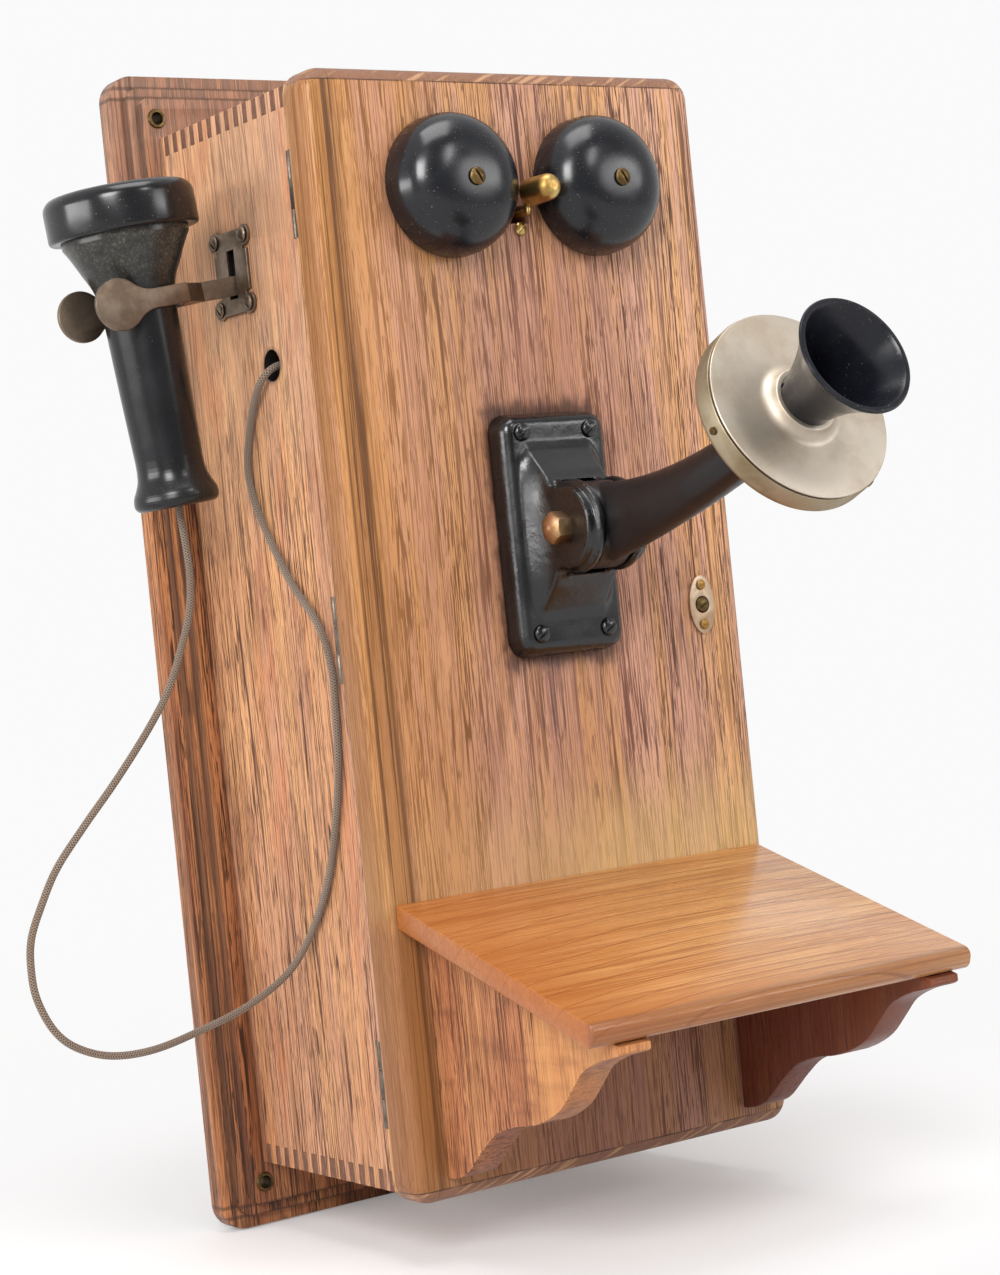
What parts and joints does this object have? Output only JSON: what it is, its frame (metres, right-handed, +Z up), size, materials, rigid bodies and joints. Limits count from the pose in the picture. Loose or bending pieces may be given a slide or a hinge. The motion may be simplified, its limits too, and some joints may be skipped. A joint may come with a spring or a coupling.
{
  "type": "hand-crank wall telephone",
  "caption": "Wooden wall telephone with a hand-cranked generator, twin gongs, tilting transmitter, hung receiver and sloping writing shelf.",
  "frame": {"origin": "on the wall plane, at the centre of the backboard's wall-hole pattern", "axes": "+X to the right seen from the front, +Y into the wall, +Z up; the front faces -Y"},
  "size_m": [0.3986, 0.3824, 0.545],
  "materials": {
    "oak_front": "oiled oak, vertical grain",
    "oak_side": "oiled oak, vertical grain",
    "oak_dark": "dark stained oak",
    "oak_shelf": "varnished honey-coloured wood",
    "plain_wood": "plain inner wood",
    "gong_enamel": "gloss black enamel",
    "japan_black": "black japan on a casting",
    "arm_black": "worn black japan on cast iron",
    "receiver_black": "polished moulded rubber",
    "mouthpiece_black": "gloss moulded mouthpiece",
    "nickel": "satin nickel plate",
    "brass": "tarnished brass",
    "bronze": "dark antique finish",
    "steel": "dull steel",
    "magnet_iron": "black painted iron",
    "iron": "dull iron",
    "winding": "cotton-covered winding",
    "contact_brass": "spring brass",
    "condenser_tin": "tinned can",
    "ebonite": "dull hard rubber",
    "knob_black": "polished black knob",
    "braid": "brown braided cotton"
  },
  "bodies": {
    "cabinet": {"backboard": "oak_dark", "eyelets": "brass", "box_left": "oak_side", "box_right": "oak_side", "box_top": "oak_side", "box_bottom": "oak_side", "escutcheon": "bronze", "side_screws": "bronze", "switch_bracket": "steel", "lifting_spring": "steel", "contact_springs": "contact_brass", "generator_shelf": "plain_wood", "generator_frame": "iron", "horseshoe_magnets": "magnet_iron", "crank_bushing": "nickel", "induction_coil": "winding", "condenser": "condenser_tin", "terminal_block": "ebonite", "binding_posts": "contact_brass", "strike_plate": "brass", "hinge_leaves_box": "bronze", "cord_cleat": "plain_wood", "receiver_cord": "braid"},
    "crank": {"crank_shaft": "steel", "crank_arm": "nickel", "drive_gear": "contact_brass"},
    "knob": {"crank_knob": "knob_black"},
    "armature": {"generator_armature": "iron", "pinion": "steel"},
    "hook": {"hook_lever": "bronze", "hook_fork": "bronze"},
    "receiver": {"receiver_shell": "receiver_black", "receiver_cap": "receiver_black", "receiver_diaphragm": "iron", "receiver_magnet": "iron"},
    "door": {"door": "oak_front", "hinge_leaves_door": "bronze", "shelf": "oak_shelf", "shelf_brackets": "oak_front", "bracket_fronts": "oak_shelf", "gongs": "gong_enamel", "gong_screws": "steel", "ringer_frame": "iron", "ringer_coils": "winding", "ringer_magnet": "magnet_iron", "ringer_screw": "brass", "transmitter_base": "japan_black", "base_screws": "japan_black", "pivot_bolt": "bronze", "latch_plate": "brass"},
    "latch": {"latch_screw": "brass", "latch_cam": "steel"},
    "clapper": {"clapper_rod": "brass", "clapper_head": "brass"},
    "transmitter": {"transmitter_arm": "arm_black", "transmitter_cup": "nickel", "face_plate": "nickel", "face_screws": "steel", "mouthpiece": "mouthpiece_black", "transmitter_button": "contact_brass"}
  },
  "joints": [
    {"name": "door_swing", "type": "hinge", "parent": "cabinet", "child": "door", "pos_m": [-0.10325, -0.1394, -0.01], "axis": [0, 0, -1], "range_deg": [0, 100]},
    {"name": "crank_turn", "type": "hinge", "parent": "cabinet", "child": "crank", "pos_m": [0.1015, -0.077, -0.012], "axis": [1, 0, 0], "continuous": true},
    {"name": "knob_spin", "type": "hinge", "parent": "crank", "child": "knob", "pos_m": [0.135, -0.077, -0.062], "axis": [1, 0, 0], "continuous": true},
    {"name": "armature_spin", "type": "hinge", "parent": "cabinet", "child": "armature", "pos_m": [0.05, -0.077, -0.0495], "axis": [1, 0, 0], "continuous": true},
    {"name": "receiver_lift", "type": "slide", "parent": "cabinet", "child": "receiver", "axis": [-0.7071, 0, 0.7071], "range_m": [0, 0.09]},
    {"name": "hook_lift", "type": "hinge", "parent": "cabinet", "child": "hook", "pos_m": [-0.04, -0.0777, 0.1723], "axis": [0, 1, 0], "range_deg": [0, 8.5]},
    {"name": "latch_turn", "type": "hinge", "parent": "door", "child": "latch", "pos_m": [0.081, -0.15, -0.001], "axis": [0, -1, 0], "range_deg": [0, 90]},
    {"name": "clapper_swing", "type": "hinge", "parent": "door", "child": "clapper", "pos_m": [0, -0.122, 0.16], "axis": [0, 1, 0], "range_deg": [-2, 2], "stiffness_Nm_per_rad": 0.1},
    {"name": "transmitter_tilt", "type": "hinge", "parent": "door", "child": "transmitter", "pos_m": [0, -0.1938, 0.039], "axis": [-1, 0, 0], "range_deg": [-30, 25]}
  ],
  "couplings": [
    {"joint": "armature_spin", "follows": "crank_turn", "ratio": -4},
    {"joint": "hook_lift", "follows": "receiver_lift", "rad_per_m": 1.6467}
  ]
}
